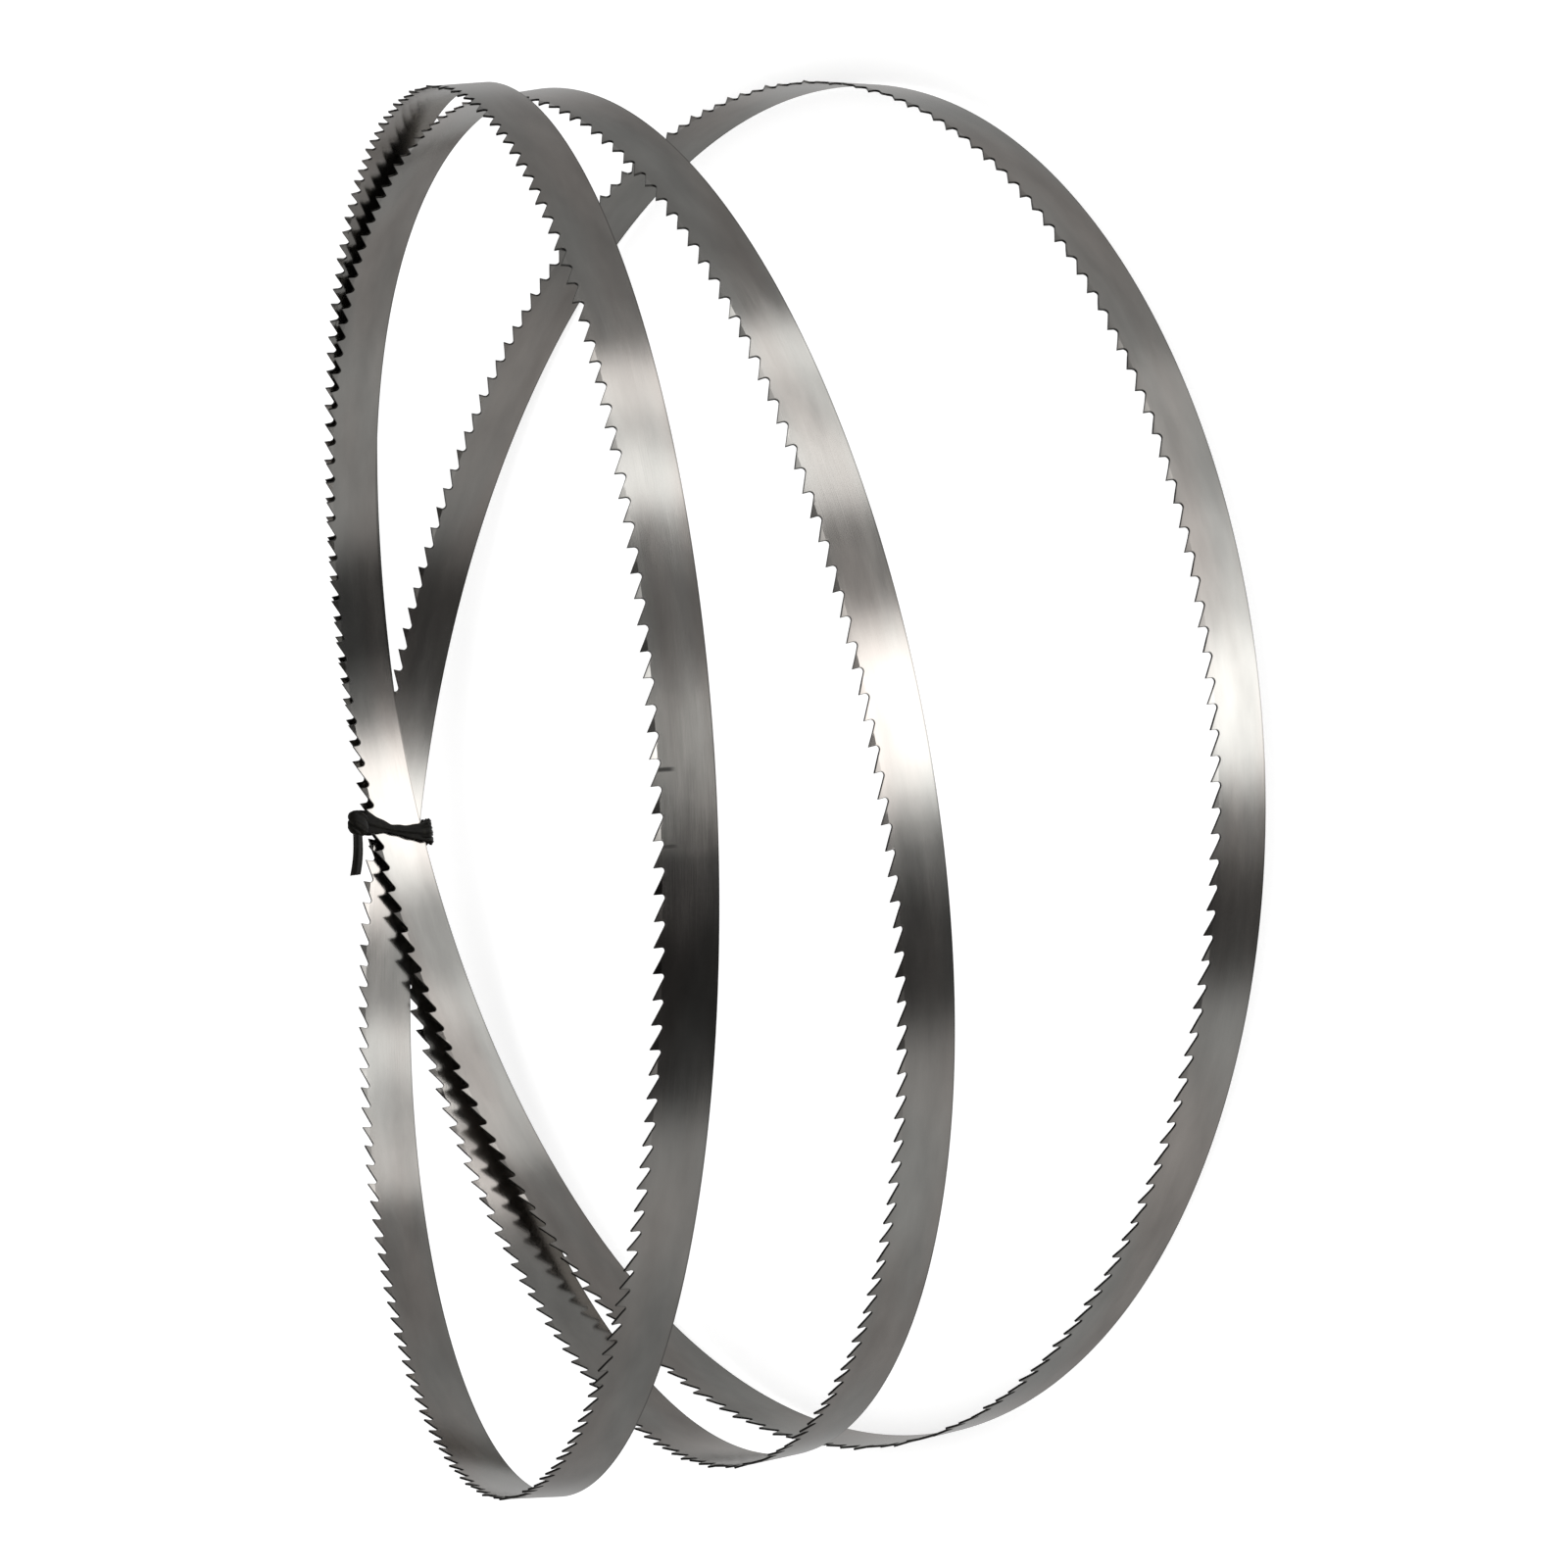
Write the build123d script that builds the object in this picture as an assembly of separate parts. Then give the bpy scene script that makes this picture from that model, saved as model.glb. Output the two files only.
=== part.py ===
from build123d import *
from collections import namedtuple
import math
import os

import numpy as np

# A band saw blade, folded into three coils and held by a twist tie. The band is one endless strip.
# Everything is in millimetres and degrees. The coils are worked out standing, with the tie at the
# back (+Y), the fan of coils open to the front (-Y) and the teeth on the left edge (-X). As rings
# roll, the finished blade is then laid on its side, on the back edges of the right coil, where it
# comes to rest. The origin is at the middle of the footprint.

# The strip and its teeth
band_width = 16.0
band_thickness = 0.56
tooth_pitch = 6.35
gullet_depth = 2.7
gullet_reach = 0.9
cutting_face_foot = 0.4
cutting_face_lean = 0.1
tooth_back_length = 5.0
heel_height = 0.3
tooth_set = 0.2
set_pattern = (1, -1, 0)

# The coils. Each one leaves the tie downwards, passes its foot, its front and its head, and comes
# back down into the tie. A place on it is (out, aside, up) from the tie: out along the coil's own
# swing from straight ahead, as a share of its reach, aside from that in millimetres, and up as a
# share of its depth below the tie. The shares give the coil its roundness.
Coil = namedtuple("Coil", "swing reach depth leaving foot low_front front high_front head returning")
middle_coil = Coil(
    swing=23.3,
    reach=363.5,
    depth=186.3,
    leaving=(0.1472, 12.0, -0.7488),
    foot=(0.5585, 15.0, -1.0),
    low_front=(0.8955, 10.0, -0.5985),
    front=(1.0, 0.0, 0.0215),
    high_front=(0.8927, -12.0, 0.6307),
    head=(0.5502, -20.0, 0.9635),
    returning=(0.1692, -16.5, 0.6897),
)
right_coil = Coil(
    swing=36.8,
    reach=380.5,
    depth=186.2,
    leaving=(0.1721, 10.0, -0.7492),
    foot=(0.5729, 7.5, -1.0),
    low_front=(0.8975, 0.0, -0.6149),
    front=(1.0, 0.0, -0.0269),
    high_front=(0.8844, 7.5, 0.6096),
    head=(0.5401, 19.5, 0.9586),
    returning=(0.1735, 21.0, 0.6874),
)
left_coil = Coil(
    swing=14.2,
    reach=381.0,
    depth=186.2,
    leaving=(0.1549, -21.0, -0.7465),
    foot=(0.5591, -19.5, -1.0),
    low_front=(0.8924, -8.0, -0.6122),
    front=(1.0, 0.0, -0.0188),
    high_front=(0.8819, 2.5, 0.6257),
    head=(0.5315, -3.0, 0.9801),
    returning=(0.164, -7.5, 0.7009),
)
coils = (middle_coil, right_coil, left_coil)
lying_swing = 34.34
lying_tilt = 88.12

# The three strands cross under the tie, one behind the other. Places are counted in strand steps
# towards the front, and each strand is a little to one side of the next.
strand_gap = 1.0
strand_step = band_thickness + 2 * tooth_set + strand_gap
stack_swing = 24.0
strand_places = (-1.2, 1.4, -0.2)
strand_asides = (-0.5, -1.0, 1.0)

# The twist tie: a flat strap round the stack, waisted in front and behind, and slanting down to the
# back edges of the strands. Its two ends are twisted into a knot in front of the teeth.
tie_clearance = 0.3
strap_thickness = 0.9
strap_waist = 2.6
strap_end_width = 5.6
strap_slant = 22.0
corner_radius = 1.0
knot_width = 4.8
knot_height = 8.0
knot_depth = 4.4
knot_roundness = 0.36
knot_lift = -1.0
tail_width = 2.6
tail_length = 13.0
tail_turn = 11.0

# How finely the curve is sampled where lengths are measured
samples_per_coil = 960


def directions(swing):
    """Unit vectors out along a swing and aside from it, both level."""
    angle = math.radians(swing)
    out = np.array([math.sin(angle), -math.cos(angle), 0.0])
    aside = np.array([math.cos(angle), math.sin(angle), 0.0])
    return out, aside


def coil_stations(coil, place, tie_aside):
    """The eight points that one coil passes, from the tie round to its return to the tie."""
    stack_out, stack_aside = directions(stack_swing)
    points = [stack_out * place * strand_step + stack_aside * tie_aside]
    out, aside = directions(coil.swing)
    for out_share, offset, up_share in coil[3:]:
        rise = np.array([0.0, 0.0, up_share * coil.depth])
        points.append(out * out_share * coil.reach + aside * offset + rise)
    return points


def curve(stations, turns):
    """The closed curve of sine waves through the stations: its points and first two derivatives."""
    count = len(stations)
    waves = np.fft.fft(stations, axis=0) / count
    rates = 2j * math.pi * np.fft.fftfreq(count, 1 / count) / len(coils)
    phases = np.exp(np.outer(turns, rates))
    points = (phases @ waves).real
    speeds = (phases @ (waves * rates[:, None])).real
    bends = (phases @ (waves * rates[:, None] ** 2)).real
    return points, speeds, bends


def unit(vectors):
    return vectors / np.linalg.norm(vectors, axis=-1, keepdims=True)


def strip_frame(stations, turns):
    """Middle of the strip, the way along it, across it to the teeth, and out of its outer face.

    Spring steel strip bends about its width and not edgewise, so its width lies square to both
    the way along and the bend.
    """
    points, speeds, bends = curve(stations, turns)
    along = unit(speeds)
    across = unit(np.cross(along, bends))
    return points, along, across, np.cross(along, across)


def band_stations():
    """The points that the whole band passes, coil after coil."""
    stations = []
    for coil, place, tie_aside in zip(coils, strand_places, strand_asides):
        stations += coil_stations(coil, place, tie_aside)
    return np.array(stations)


def evenly_spaced(stations, count, start):
    """Curve parameters of count points at equal steps along the strip."""
    turns = np.linspace(0, len(coils), len(coils) * samples_per_coil + 1)
    points = curve(stations, turns)[0]
    lengths = np.concatenate([[0], np.cumsum(np.linalg.norm(np.diff(points, axis=0), axis=1))])
    return np.interp((np.arange(count) + start) * lengths[-1] / count, lengths, turns)


def band_length(stations):
    turns = np.linspace(0, len(coils), len(coils) * samples_per_coil + 1)
    points = curve(stations, turns)[0]
    return np.linalg.norm(np.diff(points, axis=0), axis=1).sum()


def meeting_point(planes):
    """The point where three planes meet, each given as a normal and a point on the plane."""
    normals = np.array([normal for normal, _ in planes])
    offsets = np.array([normal @ point for normal, point in planes])
    return np.linalg.solve(normals, offsets)


def flat_face(points):
    return Face(Wire.make_polygon([Vector(*point) for point in points], close=True))


def split_faces(corners):
    """Two triangles for four corners that don't lie quite in one plane."""
    first, second, third, fourth = corners
    return [flat_face((first, second, third)), flat_face((first, third, fourth))]


def tooth_count(stations):
    """As many whole groups of set teeth as the band has room for."""
    group_length = tooth_pitch * len(set_pattern)
    return len(set_pattern) * round(band_length(stations) / group_length)


def make_blade(stations):
    """The toothed band: one flat facet for each tooth, folded at the bottoms of the gullets."""
    teeth = tooth_count(stations)
    step = band_length(stations) / teeth
    middles, along, across, outwards = strip_frame(stations, evenly_spaced(stations, teeth, 0.5))
    folds, _, fold_across, _ = strip_frame(stations, evenly_spaced(stations, teeth, 0.0))
    back_line = -band_width / 2
    tip_line = band_width / 2
    root_line = tip_line - gullet_depth
    foot_along = gullet_reach - step / 2
    tip_along = foot_along - cutting_face_lean
    heel_along = tip_along + tooth_back_length

    def fold_corner(index, height, side):
        """A corner on the fold before a tooth, where its facet meets the one before."""
        before = (index - 1) % teeth
        index = index % teeth
        lift = side * band_thickness / 2
        return meeting_point((
            (outwards[before], middles[before] + outwards[before] * lift),
            (outwards[index], middles[index] + outwards[index] * lift),
            (fold_across[index], folds[index] + fold_across[index] * height),
        ))

    def facet_point(index, place_along, height, lift):
        return (
            middles[index] + along[index] * place_along + across[index] * height
            + outwards[index] * lift
        )

    faces = []
    for tooth in range(teeth):
        lean = set_pattern[tooth % len(set_pattern)] * tooth_set
        sides = []
        for side in (1, -1):
            lift = side * band_thickness / 2
            back = fold_corner(tooth, back_line, side)
            next_back = fold_corner(tooth + 1, back_line, side)
            gullet = fold_corner(tooth, root_line, side)
            next_gullet = fold_corner(tooth + 1, root_line, side)
            foot = facet_point(tooth, foot_along, root_line + cutting_face_foot, lift)
            tip = facet_point(tooth, tip_along, tip_line, lift + lean)
            heel = facet_point(tooth, heel_along, root_line + heel_height, lift)
            if lean:
                faces.append(flat_face((back, next_back, next_gullet, heel, foot, gullet)))
                faces.append(flat_face((foot, heel, tip)))
            else:
                faces.append(flat_face((back, next_back, next_gullet, heel, tip, foot, gullet)))
            sides.append((back, next_back, gullet, foot, tip, heel, next_gullet))
        outer, inner = sides
        faces += split_faces((outer[0], outer[1], inner[1], inner[0]))
        faces += split_faces((outer[2], outer[3], inner[3], inner[2]))
        faces.append(flat_face((outer[3], outer[4], inner[4], inner[3])))
        faces.append(flat_face((outer[4], outer[5], inner[5], inner[4])))
        faces += split_faces((outer[5], outer[6], inner[6], inner[5]))
    return Solid(Shell(faces))


def stack_room(stations):
    """The span of the three strands inside the tie: two limits aside, then two limits out."""
    turns = np.linspace(0, len(coils), len(coils) * samples_per_coil, endpoint=False)
    middles, _, across, outwards = strip_frame(stations, turns)
    near = np.linalg.norm(middles, axis=1) < strap_end_width
    edge = across[near] * band_width / 2
    wall = outwards[near] * (band_thickness / 2 + tooth_set)
    corners = np.concatenate([
        middles[near] + edge + wall,
        middles[near] + edge - wall,
        middles[near] - edge + wall,
        middles[near] - edge - wall,
    ])
    out, aside = directions(stack_swing)
    return (corners @ aside).min(), (corners @ aside).max(), (corners @ out).min(), (corners @ out).max()


def make_twist_tie(stations):
    """The tie in the frame of the stack: X aside, Y to the rear, Z up."""
    left, right, rear, front = stack_room(stations)
    slant = math.radians(strap_slant)
    slant_room = strap_end_width / 2 * math.sin(slant)
    half_width = ((right - left) / 2 + slant_room) / math.cos(slant) + tie_clearance
    half_depth = (front - rear) / 2 + tie_clearance
    inner_plan = RectangleRounded(2 * half_width, 2 * half_depth, corner_radius)
    outer_plan = offset(inner_plan, strap_thickness)
    strap = extrude(outer_plan, strap_end_width / 2, both=True)
    passage = extrude(inner_plan, knot_height, both=True)

    # Arcs that narrow the strap towards the middle of its front and rear runs
    waist_cut = (strap_end_width - strap_waist) / 2
    waist_span = half_width * 0.8
    waist_radius = (waist_span ** 2 + waist_cut ** 2) / (2 * waist_cut)
    arc_height = strap_waist / 2 + waist_radius
    for level in (arc_height, -arc_height):
        strap -= Pos(0, 0, level) * Rot(X=90) * Cylinder(waist_radius, 8 * half_depth)

    knot_place = Pos(-half_width - strap_thickness, -half_depth - strap_thickness / 2, knot_lift)
    knot_rounding = knot_roundness * min(knot_width, knot_depth, knot_height)
    knot = fillet(Box(knot_width, knot_depth, knot_height).edges(), knot_rounding)
    tail = Box(tail_width, strap_thickness, tail_length, align=(Align.CENTER, Align.CENTER, Align.MAX))
    tail = fillet(tail.edges().filter_by(Axis.Y).group_by(Axis.Z)[0], tail_width / 3)
    tail_place = Pos(0, -knot_depth / 8, -knot_height / 4) * Rot(Y=-tail_turn)
    ends = knot_place * (knot + tail_place * tail)
    tie = (strap + ends) - passage
    return Pos((left + right) / 2, -(rear + front) / 2, 0) * Rot(Y=strap_slant) * tie


def main():
    stations = band_stations()
    laid_down = Rot(Y=lying_tilt) * Rot(Z=-lying_swing)
    blade = laid_down * make_blade(stations)
    twist_tie = laid_down * Rot(Z=stack_swing) * make_twist_tie(stations)
    box = blade.bounding_box()
    onto_floor = Pos(-box.center().X, -box.center().Y, -box.min.Z)

    os.makedirs("parts", exist_ok=True)
    export_step(onto_floor * blade, "parts/blade.step")
    export_step(onto_floor * twist_tie, "parts/twist_tie.step")
    print("teeth", tooth_count(stations), "band length", round(band_length(stations), 1))
    print("tie is at", onto_floor.position)


main()
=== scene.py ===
import math

import bpy
import numpy as np
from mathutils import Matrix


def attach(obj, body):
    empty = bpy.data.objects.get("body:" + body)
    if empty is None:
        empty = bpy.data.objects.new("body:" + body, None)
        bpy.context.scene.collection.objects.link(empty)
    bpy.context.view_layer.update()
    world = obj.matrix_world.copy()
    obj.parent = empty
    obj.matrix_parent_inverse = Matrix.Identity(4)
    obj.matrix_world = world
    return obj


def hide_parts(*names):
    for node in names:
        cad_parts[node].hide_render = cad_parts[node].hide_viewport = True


# A band saw blade, coiled three times and held by a twist tie. It lies on its side on the floor,
# and the camera is turned with it, so that the picture shows the coils upright as the photo does.
# Lengths are in millimetres and angles in degrees, unless a comment says otherwise.

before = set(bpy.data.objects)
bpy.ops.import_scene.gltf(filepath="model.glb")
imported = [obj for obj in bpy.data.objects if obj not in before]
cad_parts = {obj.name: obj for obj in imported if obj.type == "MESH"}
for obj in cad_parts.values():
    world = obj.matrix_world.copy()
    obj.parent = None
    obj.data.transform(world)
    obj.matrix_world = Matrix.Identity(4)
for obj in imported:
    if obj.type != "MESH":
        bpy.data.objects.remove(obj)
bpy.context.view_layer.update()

MM = 0.001

# The strip and its teeth. TOOTH_SPAN is the width that TOOTH_OUTLINE is drawn for, and the teeth
# are bent aside above BEND_LINE, in turn by the shares in SET_PATTERN.
BAND_WIDTH = 16.0
BAND_THICKNESS = 0.56
TOOTH_COUNT = 552
TOOTH_SPAN = 6.35
TOOTH_SET = 0.30
SET_PATTERN = (1, -1, 0)
TIP_LINE = BAND_WIDTH / 2
BEND_LINE = 6.0

# One tooth from gullet to gullet, as (along, across): where each column of the grid meets the
# outline, and where the same column leaves the plain part of the strip
TOOTH_OUTLINE = (
    (0.00, 5.300), (0.25, 5.335), (0.48, 5.440), (0.68, 5.620), (0.83, 5.860), (0.885, 6.15),
    (0.80, 8.000), (1.60, 7.595), (2.40, 7.190), (3.20, 6.786), (4.00, 6.381), (4.80, 5.976),
    (5.50, 5.622), (5.96, 5.388), (6.15, 5.320), (6.35, 5.300),
)
COLUMN_FEET = (
    0, 0.30, 0.60, 0.85, 1.05, 1.28, 1.55, 2.0, 2.6, 3.3, 4.0, 4.75, 5.4, 5.85, 6.1, 6.35,
)
BODY_TOP = 4.4
RIM_WIDTH = 0.30
SHARPEST_CORNER = 0.55
LOW_CREASE_SHARE = 0.6
STEEL_SMOOTH_BELOW = 4.5

# The coils: swing from straight ahead, then places (out, aside, up) from the tie, standing
COIL_SWINGS = (23.3, 36.8, 14.2)
COIL_PLACES = (
    ((53.5, 12, -139.5), (203, 15, -186.3), (325.5, 10, -111.5), (363.5, 0, 4),
     (324.5, -12, 117.5), (200, -20, 179.5), (61.5, -16.5, 128.5)),
    ((65.5, 10, -139.5), (218, 7.5, -186.2), (341.5, 0, -114.5), (380.5, 0, -5),
     (336.5, 7.5, 113.5), (205.5, 19.5, 178.5), (66, 21, 128)),
    ((59, -21, -139), (213, -19.5, -186.2), (340, -8, -114), (381, 0, -3.5),
     (336, 2.5, 116.5), (202.5, -3, 182.5), (62.5, -7.5, 130.5)),
)

# The stack of three strands in the tie: steps towards the front, and offsets aside
STRAND_STEP = 1.96
STACK_SWING = 24.0
STRAND_PLACES = (-1.2, 1.4, -0.2)
STRAND_ASIDES = (-0.5, -1.0, 1.0)

# How the standing coils are laid on their side, and where the tie then is
LYING_SWING = 34.34
LYING_TILT = 88.12
TIE_PLACE = np.array([5.301, 187.99, 31.032])

# How many steps the middle line is measured in
LENGTH_STEPS = 2880

# The twist tie: half sizes of its loop at mid wall, in the frame of the stack, before it is slanted
LOOP_WIDTH = 11.0
LOOP_DEPTH = 4.5
LOOP_CORNER = 1.6
STRAP_THICKNESS = 0.9
STRAP_END_WIDTH = 6.4
STRAP_SLANT = 14.0
STRAP_MIDDLE = (-0.7, -0.2, -3.3)
STRAP_SAG = 1.1
STRAP_STEPS = (180, 16)

# The strap's waist, and how far and how quickly it widens to each side
STRAP_WAIST = 2.5
WAIST_PLACE = -2.2
LEFT_SPREAD, LEFT_POWER = 7.0, 1.1
RIGHT_SPREAD, RIGHT_POWER = 12.5, 1.7

# The wire that shows as a rib, the thin edges, and the crumpled fold on the right
RIB_HEIGHT, RIB_WIDTH = 0.28, 0.42
EDGE_DROP = 0.10
FOLD_START, FOLD_LENGTH = 7.2, 4.0
FOLD_OUT, FOLD_WAVE, FOLD_RIPPLE = 0.05, 0.75, 0.30
FOLD_LIFT, FOLD_JAG, EDGE_LIFT = 0.5, 0.3, 0.12

# The knot: half sizes, and how boxy, how twisted and how deeply grooved it is
KNOT_SIZE = (3.0, 2.3, 3.6)
KNOT_PLACE = (-12.3, -4.6, -1.0)
KNOT_STEPS = (72, 48)
KNOT_BOXINESS = 3.2
KNOT_TWIST = 5.0
GROOVE_DEPTH, GROOVE_WIDTH = 0.17, 0.30
RIDGE_HEIGHT, RIDGE_WIDTH = 0.035, 0.22
KNOT_DENT = 0.05
KNOT_LEAN = -0.20

# The tail that hangs from the knot
TAIL_WIDTH = 2.7
TAIL_LENGTH = 13.5
TAIL_TURN = 2.0
TAIL_STEPS = (12, 40)
TAIL_START = (-0.2, -0.6, -2.0)
TAIL_FLARE = 0.10
TAIL_CUT = 0.7
TAIL_RIB_HEIGHT, TAIL_RIB_WIDTH = 0.30, 0.14
TAIL_TWIST, TAIL_TWIST_END = 0.35, -0.12
TAIL_BOW_ASIDE, TAIL_BOW_FRONT = 0.55, 0.8

# The rounding of the tie's cut edges, and the corners that stay sharp on it
TIE_ROUNDING = 0.16
ROUNDED_ABOVE = 60
TIE_SMOOTH_BELOW = 40

# Points that lie closer than this are one: on the flat band in millimetres, at a seam in metres
FLAT_MERGE = 0.001
SEAM_MERGE = 0.00001


def turned(axis, degrees):
    """The matrix that turns a column vector about the Z or the Y axis."""
    c, s = math.cos(math.radians(degrees)), math.sin(math.radians(degrees))
    if axis == "Z":
        return np.array([[c, -s, 0], [s, c, 0], [0, 0, 1]])
    return np.array([[c, 0, s], [0, 1, 0], [-s, 0, c]])


LAID_DOWN = turned("Y", LYING_TILT) @ turned("Z", -LYING_SWING)


def directions(swing):
    """Unit vectors out along a swing and aside from it, both level."""
    angle = math.radians(swing)
    out = np.array([math.sin(angle), -math.cos(angle), 0])
    aside = np.array([math.cos(angle), math.sin(angle), 0])
    return out, aside


def band_stations():
    """The points that the whole band passes, coil after coil."""
    stack_out, stack_aside = directions(STACK_SWING)
    stations = []
    coils = zip(COIL_SWINGS, COIL_PLACES, STRAND_PLACES, STRAND_ASIDES)
    for swing, places, layer, sideways in coils:
        stations.append(stack_out * layer * STRAND_STEP + stack_aside * sideways)
        out, aside = directions(swing)
        for distance, offset, up in places:
            stations.append(out * distance + aside * offset + np.array([0, 0, up]))
    return np.array(stations)


def strip_frame(stations, turns):
    """Middle of the strip, across it to the teeth, and out of its outer face.

    The middle line is the closed curve of sine waves through the stations, and the strip's width
    lies square to the line and to its bend.
    """
    count = len(stations)
    waves = np.fft.fft(stations, axis=0) / count
    rates = 2j * math.pi * np.fft.fftfreq(count, 1 / count) / len(COIL_SWINGS)
    phases = np.exp(np.outer(turns, rates))
    points = (phases @ waves).real
    speeds = (phases @ (waves * rates[:, None])).real
    bends = (phases @ (waves * rates[:, None] ** 2)).real
    along = speeds / np.linalg.norm(speeds, axis=1, keepdims=True)
    across = np.cross(along, bends)
    across /= np.linalg.norm(across, axis=1, keepdims=True)
    return points, across, np.cross(along, across)


STATIONS = band_stations()
FINE_TURNS = np.linspace(0, len(COIL_SWINGS), LENGTH_STEPS + 1)
FINE_POINTS = strip_frame(STATIONS, FINE_TURNS)[0]
FINE_STEPS = np.linalg.norm(np.diff(FINE_POINTS, axis=0), axis=1)
FINE_LENGTHS = np.concatenate([[0], np.cumsum(FINE_STEPS)])
PITCH = FINE_LENGTHS[-1] / TOOTH_COUNT


def deselect():
    if bpy.context.object and bpy.context.object.mode != "OBJECT":
        bpy.ops.object.mode_set(mode="OBJECT")
    bpy.ops.object.select_all(action="DESELECT")


def new_grid(name, steps_x, steps_y):
    """A flat square of 1 by 1 about the origin."""
    deselect()
    bpy.ops.mesh.primitive_grid_add(x_subdivisions=steps_x, y_subdivisions=steps_y, size=1)
    piece = bpy.context.object
    piece.name = name
    return piece


def coordinates(mesh):
    flat = np.empty(len(mesh.vertices) * 3)
    mesh.vertices.foreach_get("co", flat)
    return flat.reshape(-1, 3)


def set_coordinates(mesh, points):
    mesh.vertices.foreach_set("co", np.asarray(points, dtype=np.float32).ravel())
    mesh.update()


def apply(piece, kind, **settings):
    """Adds a modifier to a piece and applies it."""
    modifier = piece.modifiers.new(kind.lower(), kind)
    for name, value in settings.items():
        setattr(modifier, name, value)
    bpy.context.view_layer.objects.active = piece
    bpy.ops.object.modifier_apply(modifier=modifier.name)


def repeat_along(piece, count, step):
    """Repeats a flat piece along X and joins the copies where they meet."""
    apply(piece, "ARRAY", count=count, use_relative_offset=False, use_constant_offset=True,
          constant_offset_displace=(step, 0, 0), use_merge_vertices=True,
          merge_threshold=FLAT_MERGE)


def close_seam(piece):
    """Joins the points that meet where a bent grid closes on itself."""
    bpy.context.view_layer.objects.active = piece
    bpy.ops.object.mode_set(mode="EDIT")
    bpy.ops.mesh.select_all(action="SELECT")
    bpy.ops.mesh.remove_doubles(threshold=SEAM_MERGE)
    bpy.ops.object.mode_set(mode="OBJECT")


def inner_outline(outline):
    """The outline moved into the steel by the width of the rim."""
    ways = np.diff(outline, axis=0)
    ways /= np.linalg.norm(ways, axis=1, keepdims=True)
    inwards = np.stack([ways[:, 1], -ways[:, 0]], axis=1)
    first = np.concatenate([inwards[:1], inwards])
    last = np.concatenate([inwards, inwards[-1:]])
    middle = first + last
    middle /= np.linalg.norm(middle, axis=1, keepdims=True)
    reach = 1 / np.maximum((middle * first).sum(axis=1, keepdims=True), SHARPEST_CORNER)
    moved = outline + middle * reach * RIM_WIDTH
    moved[[0, -1], 0] = outline[[0, -1], 0]
    return moved


def make_one_tooth():
    """A flat tooth with the strip below it. Its attribute rim is 1 on the outline, else 0."""
    columns = len(TOOTH_OUTLINE)
    stretch = PITCH / TOOTH_SPAN
    outline = np.array(TOOTH_OUTLINE) * np.array([stretch, 1])
    inner = inner_outline(outline)
    foot = np.stack([np.array(COLUMN_FEET) * stretch, np.full(columns, BODY_TOP)], axis=1)
    base = foot * np.array([1, 0]) - np.array([0, BAND_WIDTH / 2])
    bend_share = (BEND_LINE - BODY_TOP) / (inner[:, 1] - BODY_TOP)
    share = np.where(inner[:, 1] > BEND_LINE, bend_share, LOW_CREASE_SHARE)
    crease = foot + (inner - foot) * share[:, None]
    levels = np.stack([base, foot, crease, inner, outline])

    last_row = len(levels) - 1
    blade = new_grid("blade_strip", columns - 1, last_row)
    points = coordinates(blade.data)
    column = np.rint((points[:, 0] + 0.5) * (columns - 1)).astype(int)
    row = np.rint((points[:, 1] + 0.5) * last_row).astype(int)
    points[:, :2] = levels[row, column]
    set_coordinates(blade.data, points)
    rim = blade.data.attributes.new("rim", "FLOAT", "POINT")
    rim.data.foreach_set("value", (row == last_row).astype(np.float32))
    return blade


def keep_flat_places(mesh, points):
    """Stores in the UV map, in metres, how far along and across the flat band each point is."""
    layer = mesh.uv_layers[0]
    layer.name = "along_and_across"
    corners = np.empty(len(mesh.loops), dtype=np.int32)
    mesh.loops.foreach_get("vertex_index", corners)
    wrap = points[corners][:, :2] * MM
    layer.data.foreach_set("uv", wrap.astype(np.float32).ravel())


def make_blade():
    """The toothed band: one tooth, then a set group, then all groups, bent round the coils."""
    blade = make_one_tooth()
    mesh = blade.data
    group = len(SET_PATTERN)
    repeat_along(blade, group, PITCH)
    points = coordinates(mesh)
    tooth = np.clip(np.floor(points[:, 0] / PITCH).astype(int), 0, group - 1)
    lean = np.clip((points[:, 1] - BEND_LINE) / (TIP_LINE - BEND_LINE), 0, 1)
    points[:, 2] = np.array(SET_PATTERN)[tooth] * TOOTH_SET * lean
    set_coordinates(mesh, points)
    repeat_along(blade, TOOTH_COUNT // group, PITCH * group)

    points = coordinates(mesh)
    keep_flat_places(mesh, points)
    turns = np.interp(points[:, 0], FINE_LENGTHS, FINE_TURNS)
    middles, across, outwards = strip_frame(STATIONS, turns)
    bent = middles + across * points[:, 1:2] + outwards * points[:, 2:3]
    set_coordinates(mesh, (bent @ LAID_DOWN.T + TIE_PLACE) * MM)
    close_seam(blade)
    apply(blade, "SOLIDIFY", thickness=BAND_THICKNESS * MM, offset=0)
    deselect()
    blade.select_set(True)
    bpy.context.view_layer.objects.active = blade
    bpy.ops.object.shade_smooth_by_angle(angle=math.radians(STEEL_SMOOTH_BELOW))
    apply(blade, "WEIGHTED_NORMAL", mode="FACE_AREA", weight=100, keep_sharp=True)
    return blade


def tie_to_scene(points):
    """From the slanted frame of the tie, in millimetres, to the scene."""
    placed = points @ turned("Y", STRAP_SLANT).T + np.array(STRAP_MIDDLE)
    return (placed @ (LAID_DOWN @ turned("Z", STACK_SWING)).T + TIE_PLACE) * MM


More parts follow.
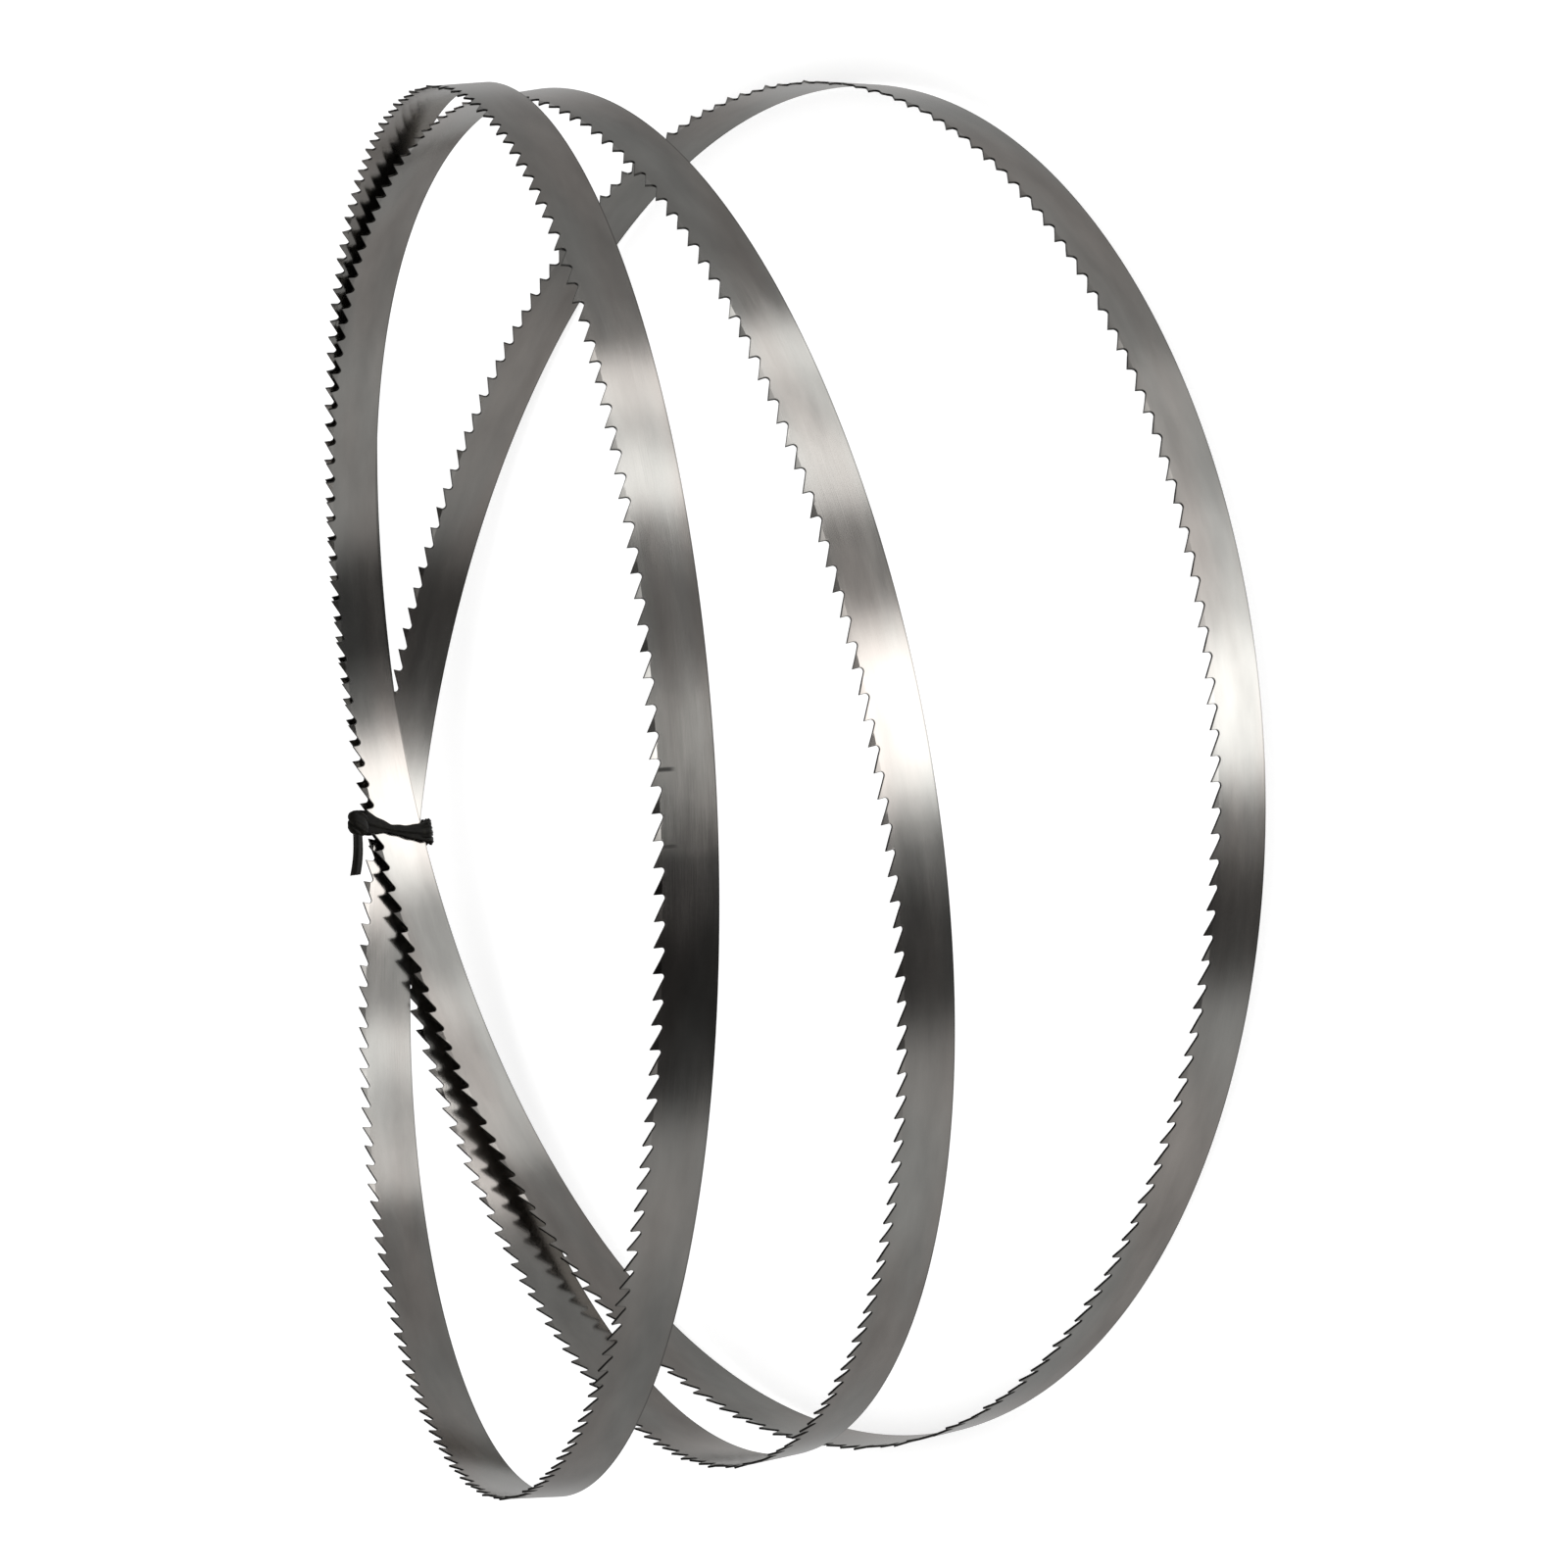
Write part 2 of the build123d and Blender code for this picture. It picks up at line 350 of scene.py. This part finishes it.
def loop_point(share):
    """A point of the strap's loop and its outward direction, from the middle of the rear on."""
    straight = LOOP_WIDTH - LOOP_CORNER
    side = LOOP_DEPTH - LOOP_CORNER
    quarter = math.pi / 2
    arc = quarter * LOOP_CORNER
    runs = (straight, arc, 2 * side, arc, 2 * straight, arc, 2 * side, arc, straight)
    starts = (
        (0, LOOP_DEPTH), (straight, side), (LOOP_WIDTH, side),
        (straight, -side), (straight, -LOOP_DEPTH), (-straight, -side),
        (-LOOP_WIDTH, -side), (-straight, side), (-straight, LOOP_DEPTH),
    )
    way = (share % 1) * sum(runs)
    run = 0
    while way > runs[run] and run < len(runs) - 1:
        way -= runs[run]
        run += 1
    x, y = starts[run]
    if run % 2:
        # Round a corner, where the run starts from the corner's own middle
        facing = quarter - (run // 2) * quarter - way / LOOP_CORNER
        return (x + LOOP_CORNER * math.cos(facing), y + LOOP_CORNER * math.sin(facing)), facing
    facing = quarter - (run // 2) * quarter
    return (x + way * math.sin(facing), y - way * math.cos(facing)), facing


def strap_width(x):
    """The strap's width: narrowest at the waist, and wider to both sides."""
    from_waist = x - WAIST_PLACE
    if from_waist < 0:
        spread = min(abs(from_waist) / LEFT_SPREAD, 1.0) ** LEFT_POWER
    else:
        spread = min(from_waist / RIGHT_SPREAD, 1.0) ** RIGHT_POWER
    return STRAP_WAIST + (STRAP_END_WIDTH - STRAP_WAIST) * spread


def finish_tie_strip(piece):
    """Gives a strip of the tie its thickness, and rounds its cut edges."""
    apply(piece, "SOLIDIFY", thickness=STRAP_THICKNESS * MM, offset=0)
    apply(piece, "BEVEL", width=TIE_ROUNDING * MM, segments=2, limit_method="ANGLE",
          angle_limit=math.radians(ROUNDED_ABOVE))


def make_strap():
    """The strap round the stack: waisted, with a wire rib, and crumpled where it folds."""
    strap = new_grid("tie_strap", *STRAP_STEPS)
    points = coordinates(strap.data)
    shaped = np.empty_like(points)
    shear = math.tan(math.radians(STRAP_SLANT))
    for index, (u, v, _) in enumerate(points):
        (x, y), facing = loop_point(u + 0.5)
        height = v * strap_width(x)
        edge = abs(2 * v)
        fold = min(max((x - FOLD_START) / FOLD_LENGTH, 0.0), 1.0)

        out = RIB_HEIGHT * math.exp(-(height / RIB_WIDTH) ** 2) - EDGE_DROP * edge ** 4
        wave = math.sin(height * 2.9 + 0.7) * math.cos(y * 0.5)
        out += fold * (FOLD_OUT + FOLD_WAVE * wave)
        out += fold * FOLD_RIPPLE * math.sin(height * 6.3 + y * 1.9)

        jags = FOLD_LIFT * math.sin(y * 2.3 + v * 3.0) + FOLD_JAG * math.sin(y * 5.3 + v)
        lift = fold * jags * edge + EDGE_LIFT * math.sin(x * 1.3 + v * 2.0) * edge
        lift -= STRAP_SAG * (1 - (x / LOOP_WIDTH) ** 2)

        # The strap's ends run with the strands, so they are sheared back upright
        aslant = height * shear * min(abs(x) / LOOP_WIDTH, 1.0) ** 2
        shaped[index] = (
            x + out * math.cos(facing) - aslant, y + out * math.sin(facing), height + lift,
        )
    set_coordinates(strap.data, tie_to_scene(shaped))
    close_seam(strap)
    finish_tie_strip(strap)
    return strap


def make_knot():
    """The two ends of the tie, twisted round each other."""
    deselect()
    segments, rings = KNOT_STEPS
    bpy.ops.mesh.primitive_uv_sphere_add(segments=segments, ring_count=rings, radius=1)
    knot = bpy.context.object
    knot.name = "tie_knot"
    points = coordinates(knot.data)
    angle = np.arctan2(points[:, 1], points[:, 0])
    height = points[:, 2]
    bulk = (np.abs(points) ** KNOT_BOXINESS).sum(axis=1, keepdims=True)
    points = points * bulk ** (-1 / KNOT_BOXINESS)
    turn = 2 * angle + height * KNOT_TWIST
    groove = 1 - GROOVE_DEPTH * np.exp(-(np.sin(turn / 2) / GROOVE_WIDTH) ** 2)
    ridge = 1 + RIDGE_HEIGHT * np.exp(-(np.cos(turn / 2) / RIDGE_WIDTH) ** 2)
    points[:, :2] *= (groove * ridge)[:, None]
    points[:, 2] *= 1 - KNOT_DENT * np.cos(angle * 2 + 0.6)
    lean = points[:, 2:3] * np.array([[KNOT_LEAN * KNOT_SIZE[0], 0, 0]])
    points = points * np.array(KNOT_SIZE) + lean + np.array(KNOT_PLACE)
    set_coordinates(knot.data, tie_to_scene(points))
    return knot


def make_tail():
    """The end that hangs from the knot: a flat strip with the wire showing as a rib."""
    tail = new_grid("tie_tail", *TAIL_STEPS)
    points = coordinates(tail.data)
    side = points[:, 0]
    drop = 0.5 - points[:, 1]
    x = side * TAIL_WIDTH * (1 + TAIL_FLARE * drop)
    y = EDGE_DROP * (2 * side) ** 4 - TAIL_RIB_HEIGHT * np.exp(-(side / TAIL_RIB_WIDTH) ** 2)
    z = -drop * TAIL_LENGTH + side * TAIL_CUT * drop
    turn = TAIL_TWIST * (1 - drop) + TAIL_TWIST_END
    x, y = x * np.cos(turn) - y * np.sin(turn), x * np.sin(turn) + y * np.cos(turn)
    x = x + TAIL_BOW_ASIDE * np.sin(drop * 2.6)
    y = y - TAIL_BOW_FRONT * np.sin(drop * 2.2)
    hung = np.stack([x, y, z], axis=1) @ turned("Y", -TAIL_TURN).T
    start = np.array(KNOT_PLACE) + np.array(TAIL_START)
    set_coordinates(tail.data, tie_to_scene(hung + start))
    finish_tie_strip(tail)
    return tail


def make_tie():
    parts = [make_strap(), make_knot(), make_tail()]
    deselect()
    for part in parts:
        part.select_set(True)
    bpy.context.view_layer.objects.active = parts[0]
    bpy.ops.object.join()
    bpy.ops.object.shade_smooth_by_angle(angle=math.radians(TIE_SMOOTH_BELOW))
    tie = bpy.context.object
    tie.name = "twist_tie_strap"
    return tie


blade = make_blade()
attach(blade, "root")
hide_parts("blade")

tie = make_tie()
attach(tie, "root")
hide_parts("twist_tie")


# Looks. Places on the strip are in metres here, as in its UV map.
WHITE = (1, 1, 1, 1)

# How often the steel's patterns repeat in a metre, along and across the strip
GRAIN_SCALE = (45, 4200, 0)
CLOUD_SCALE = (38, 120, 0)
SMEAR_SCALE = (70, 700, 0)
TINT_SCALE = (14, 60, 0)

GREY_STEEL = (0.552, 0.545, 0.518)
WARM_STEEL = (0.590, 0.548, 0.512)
WELD_STEEL = (0.60, 0.57, 0.52)
# Near-black that darkens the steel: for its random clouds and weld ticks, and as painted shade at
# the edges, tooth tips and back corner
DARK_TONE_AND_PAINTED_SHADE = (0.01, 0.01, 0.01)
STEEL_SHADE = 0.88
STEEL_ROUGHNESS = 0.165

# The ground weld: its middle and length along the band, and its two dark ticks
WELD_PLACE = 2.911
WELD_LENGTH = 0.034
TICK_PLACE = WELD_PLACE + 0.001
FAINT_TICK_PLACE = WELD_PLACE - WELD_LENGTH / 2

TIE_BLACK = (0.0055, 0.0050, 0.0038)
TIE_DUST = (0.0160, 0.0145, 0.0095)
TIE_ROUGHNESS = 0.38
TIE_SPECULAR = 0.22

# The floor lies a little below the blade, and is lit up to white for the camera
FLOOR_SIZE = 12
FLOOR_LEVEL = -0.0002
FLOOR_GREY = (0.8, 0.8, 0.8, 1)
FLOOR_GLOW = 0.52

# The brightness of what the steel reflects, and of the plain light on everything else
WALLS = 0.245
LEFT_WALL = 0.11
REAR_WALL = 0.15
LOW_WALLS = 0.07
FRONT_BOX = 1.9
SIDE_BOX = 0.68
FIRST_EDGE = 0.85
LAST_EDGE = 0.60
GROUND_BOX = 1.2
PLAIN_LIGHT = 0.6

# The lamp, in metres, watts and degrees
LAMP_PLACE = (-0.5, -0.9, 1.5)
LAMP_TURN = (31, 0, -29)
LAMP_SIZE = 2.0
LAMP_POWER = 14

# The camera that fits the photo, in metres and degrees, with its lens in millimetres
CAMERA_PLACE = (-0.07798, -1.30676, 0.90908)
CAMERA_TURN = (-4.785, 55.627, -99.088)
CAMERA_LENS = 134.04
CAMERA_SENSOR = 36
CAMERA_REACH = 20


class Value:
    """A socket that can be written in sums, so that a material reads like its formula."""

    def __init__(self, tree, socket):
        self.tree = tree
        self.socket = socket

    def node(self, kind, **settings):
        made = self.tree.nodes.new(kind)
        for name, value in settings.items():
            setattr(made, name, value)
        return made

    def math(self, operation, *others):
        made = self.node("ShaderNodeMath", operation=operation)
        self.tree.links.new(self.socket, made.inputs[0])
        for index, other in enumerate(others, 1):
            if isinstance(other, Value):
                self.tree.links.new(other.socket, made.inputs[index])
            else:
                made.inputs[index].default_value = other
        return Value(self.tree, made.outputs[0])

    def __add__(self, other):
        return self.math("ADD", other)

    def __sub__(self, other):
        return self.math("SUBTRACT", other)

    def __mul__(self, other):
        return self.math("MULTIPLY", other)

    def inverted(self):
        return self * -1 + 1

    def ramp(self, low, high):
        """0 below low, 1 above high, and a smooth rise between."""
        made = self.node("ShaderNodeMapRange", interpolation_type="SMOOTHSTEP")
        self.tree.links.new(self.socket, made.inputs["Value"])
        made.inputs["From Min"].default_value = low
        made.inputs["From Max"].default_value = high
        return Value(self.tree, made.outputs["Result"])

    def band(self, middle, half_width, softness):
        """1 within half_width of the middle, and 0 a softness further out."""
        distance = (self - middle).math("ABSOLUTE")
        return distance.ramp(half_width, half_width + softness).inverted()

    def blend(self, first, second):
        """The colour first where this is 0 and second where it is 1."""
        made = self.node("ShaderNodeMix", data_type="RGBA")
        self.tree.links.new(self.socket, made.inputs["Factor"])
        for name, colour in ((6, first), (7, second)):
            if isinstance(colour, Value):
                self.tree.links.new(colour.socket, made.inputs[name])
            else:
                made.inputs[name].default_value = (*colour, 1)
        return Value(self.tree, made.outputs[2])

    def feed(self, shader, name):
        """Links this to one of a shader's inputs."""
        self.tree.links.new(self.socket, shader.inputs[name])


def noise(tree, vector, scale, detail):
    made = tree.nodes.new("ShaderNodeTexNoise")
    made.inputs["Scale"].default_value = scale
    made.inputs["Detail"].default_value = detail
    tree.links.new(vector, made.inputs["Vector"])
    return Value(tree, made.outputs["Fac"])


def stretched_noise(tree, vector, scales, detail):
    """Noise with its own scale along and across the strip."""
    made = tree.nodes.new("ShaderNodeVectorMath")
    made.operation = "MULTIPLY"
    tree.links.new(vector, made.inputs[0])
    made.inputs[1].default_value = scales
    return noise(tree, made.outputs[0], 1.0, detail)


def add_bump(tree, shader, height, strength, distance):
    bump = tree.nodes.new("ShaderNodeBump")
    bump.inputs["Strength"].default_value = strength
    bump.inputs["Distance"].default_value = distance
    height.feed(bump, "Height")
    tree.links.new(bump.outputs["Normal"], shader.inputs["Normal"])


def new_material(name):
    material = bpy.data.materials.new(name)
    material.use_nodes = True
    tree = material.node_tree
    return material, tree, tree.nodes["Principled BSDF"]


def steel_material():
    """Rolled steel: satin, with a fine lengthwise grain, faint clouds and tints, and the weld."""
    material, tree, shader = new_material("blade_steel")
    wrap = tree.nodes.new("ShaderNodeUVMap")
    wrap.uv_map = "along_and_across"
    place = wrap.outputs["UV"]
    split = tree.nodes.new("ShaderNodeSeparateXYZ")
    tree.links.new(place, split.inputs[0])
    along = Value(tree, split.outputs[0])
    across = Value(tree, split.outputs[1])
    rim_reader = tree.nodes.new("ShaderNodeAttribute")
    rim_reader.attribute_name = "rim"
    grain = stretched_noise(tree, place, GRAIN_SCALE, 2.0)
    clouds = stretched_noise(tree, place, CLOUD_SCALE, 3.0)
    smears = stretched_noise(tree, place, SMEAR_SCALE, 2.0)
    tint = stretched_noise(tree, place, TINT_SCALE, 1.0)

    # Painted shade: the colour is darkened at the cut edges, on the teeth towards their tips, and
    # along the rolled back corner, where the light falls off them
    edge = Value(tree, rim_reader.outputs["Fac"]).ramp(0.15, 0.95)
    tips = across.ramp(0.0058, 0.0082)
    back = across.ramp(-0.0079, -0.0075).inverted()

    # The weld was ground: duller and smeared, with a dark tick and a fainter one at its near end
    weld = along.band(WELD_PLACE, WELD_LENGTH / 2, 0.004)
    faint_tick = along.band(FAINT_TICK_PLACE, 0.0002, 0.0005)
    dark_tick = along.band(TICK_PLACE, 0.0002, 0.0006)
    tick = (faint_tick * 0.6 + dark_tick) * across.ramp(0.0012, 0.0035)
    dull = weld * smears.ramp(0.15, 0.75)

    colour = tint.ramp(0.32, 0.68).blend(GREY_STEEL, WARM_STEEL)
    colour = (weld * 0.2).blend(colour, WELD_STEEL)
    shade = (clouds - 0.5) * 0.55 + (tint - 0.5) * -0.25 + STEEL_SHADE
    # Painted shade at the cut edges, the tooth tips and the rolled back corner
    shade = shade * (edge * -0.75 + 1) * (tips * -0.2 + 1) * (back * -0.45 + 1)
    # How far the colour goes to near-black: random tone, the weld ticks, and the painted shade at
    # the edges, tips and back corner
    black = shade.inverted().math("MAXIMUM", tick * 0.8)
    black.blend(colour, DARK_TONE_AND_PAINTED_SHADE).feed(shader, "Base Color")
    roughness = (grain - 0.5) * 0.07 + (clouds - 0.5) * 0.12 + STEEL_ROUGHNESS
    (roughness + dull * 0.05 + edge * 0.15).feed(shader, "Roughness")
    shader.inputs["Metallic"].default_value = 1.0
    add_bump(tree, shader, grain + clouds * 1.5, strength=0.14, distance=0.00004)
    return material


def tie_material():
    """Black plastic with a little dust on it."""
    material, tree, shader = new_material("tie_plastic")
    place = tree.nodes.new("ShaderNodeTexCoord").outputs["Object"]
    dust = noise(tree, place, 900.0, 4.0)
    fine = noise(tree, place, 5200.0, 3.0)
    dust.ramp(0.45, 0.8).blend(TIE_BLACK, TIE_DUST).feed(shader, "Base Color")
    (dust * 0.2 + TIE_ROUGHNESS).feed(shader, "Roughness")
    shader.inputs["Specular IOR Level"].default_value = TIE_SPECULAR
    add_bump(tree, shader, dust + fine * 0.5, strength=0.3, distance=0.0001)
    return material


def floor_material():
    """White paper that keeps the shadow. The steel looks past it at the studio."""
    material, tree, shader = new_material("floor_paper")
    shader.inputs["Base Color"].default_value = FLOOR_GREY
    shader.inputs["Roughness"].default_value = 0.9
    shader.inputs["Emission Color"].default_value = WHITE
    path = tree.nodes.new("ShaderNodeLightPath")
    camera_ray = Value(tree, path.outputs["Is Camera Ray"])
    seen = camera_ray + Value(tree, path.outputs["Is Transmission Ray"])
    (seen * FLOOR_GLOW).feed(shader, "Emission Strength")
    clear = tree.nodes.new("ShaderNodeBsdfTransparent")
    mix = tree.nodes.new("ShaderNodeMixShader")
    tree.links.new(path.outputs["Is Glossy Ray"], mix.inputs["Fac"])
    tree.links.new(shader.outputs[0], mix.inputs[1])
    tree.links.new(clear.outputs[0], mix.inputs[2])
    tree.links.new(mix.outputs[0], tree.nodes["Material Output"].inputs["Surface"])
    return material


def make_floor():
    deselect()
    bpy.ops.mesh.primitive_grid_add(x_subdivisions=2, y_subdivisions=2, size=FLOOR_SIZE,
                                    location=(0, 0, FLOOR_LEVEL))
    floor = bpy.context.object
    floor.name = "floor"
    floor.data.materials.append(floor_material())
    return floor


def studio_level(azimuth, behind, elevation):
    """The brightness of what the steel reflects in a direction.

    Azimuth is 0 straight in front and grows to the right, behind is the same from straight
    behind, and elevation grows upwards. The photo's lights are near the blade, so the pictures of
    them shift a little with the height of what is seen, and the ramps follow that.
    """
    low = elevation.ramp(-38, -20).inverted()
    lower = elevation.ramp(-17, -13).inverted()
    high = elevation.ramp(-18, -8)
    higher = elevation.ramp(-11, -7)
    top = elevation.ramp(-4, -1.5)

    # Grey walls
    level = azimuth.band(-66, 14, 16) * LEFT_WALL + behind.band(6, 18, 24) * REAR_WALL
    level = level + low * LOW_WALLS + WALLS

    # A dark card on the left, and a weaker shade on the right
    away = (azimuth + high * 9 - top * 10 + 34).math("ABSOLUTE")
    card = (away + low * 2 - high * 4 - top * 14).ramp(7, 18).inverted()
    level = level * (card * (low * 0.06 - higher * 0.13 - 0.77) + 1)
    level = level * (azimuth.band(20, 4, 8) * higher * -0.2 + 1)

    # A white box in front, and a wider one with two bright edges on the right
    front_dimming = (elevation.ramp(-10, -4) * -0.91 + 1) * (low * -0.55 + 1)
    side_dimming = (lower * -0.15 + 1) * (low * -0.59 + 1)
    front_box = (azimuth - low * 2).band(0, 6, 12) * front_dimming
    side_box = (azimuth - higher * 9).band(47, 13, 7) * side_dimming
    first_edge = (azimuth - higher * 9).band(36, 2.5, 6) * lower.inverted()
    last_edge = (azimuth - higher * 3).band(60, 2, 7) * lower.inverted()
    spill = azimuth.band(14, 8, 22) * (lower * 0.5 + low * 0.35)
    level = level + front_box * FRONT_BOX + side_box * SIDE_BOX
    level = level + first_edge * FIRST_EDGE + last_edge * LAST_EDGE + spill

    # A dark ceiling, and a bright ground
    level = level * (elevation.ramp(5, 14) * -0.8 + 1)
    return level + elevation.ramp(-66, -50).inverted() * GROUND_BOX


def make_world():
    """White for the camera, the studio for the steel, and plain light for everything else."""
    world = bpy.data.worlds.new("studio")
    bpy.context.scene.world = world
    world.use_nodes = True
    tree = world.node_tree
    tree.nodes.clear()
    place = tree.nodes.new("ShaderNodeTexCoord").outputs["Generated"]
    split = tree.nodes.new("ShaderNodeSeparateXYZ")
    tree.links.new(place, split.inputs[0])
    x, y, z = (Value(tree, output) for output in split.outputs)
    to_degrees = 180 / math.pi
    azimuth = x.math("ARCTAN2", y * -1) * to_degrees
    behind = x.math("ARCTAN2", y) * to_degrees
    elevation = z.math("ARCSINE") * to_degrees
    level = studio_level(azimuth, behind, elevation)

    path = tree.nodes.new("ShaderNodeLightPath")
    camera_ray = Value(tree, path.outputs["Is Camera Ray"])
    glossy_ray = Value(tree, path.outputs["Is Glossy Ray"])
    seen = camera_ray.math("MAXIMUM", Value(tree, path.outputs["Is Transmission Ray"]))
    strength = glossy_ray * (level - PLAIN_LIGHT) + PLAIN_LIGHT
    strength = seen * strength.inverted() + strength
    background = tree.nodes.new("ShaderNodeBackground")
    background.inputs["Color"].default_value = WHITE
    strength.feed(background, "Strength")
    output = tree.nodes.new("ShaderNodeOutputWorld")
    tree.links.new(background.outputs[0], output.inputs["Surface"])


def in_radians(angles):
    return [math.radians(angle) for angle in angles]


def make_lamp():
    bpy.ops.object.light_add(type="AREA", location=LAMP_PLACE, rotation=in_radians(LAMP_TURN))
    lamp = bpy.context.object
    lamp.data.size = LAMP_SIZE
    lamp.data.energy = LAMP_POWER
    lamp.visible_glossy = False


def make_camera():
    bpy.ops.object.camera_add(location=CAMERA_PLACE, rotation=in_radians(CAMERA_TURN))
    camera = bpy.context.object
    camera.data.sensor_width = CAMERA_SENSOR
    camera.data.lens = CAMERA_LENS
    camera.data.clip_end = CAMERA_REACH
    bpy.context.scene.camera = camera


def dress(piece, material):
    piece.data.materials.clear()
    piece.data.materials.append(material)


dress(blade, steel_material())
dress(tie, tie_material())
floor = make_floor()
make_world()
make_lamp()
make_camera()
bpy.context.scene.view_settings.view_transform = "Standard"
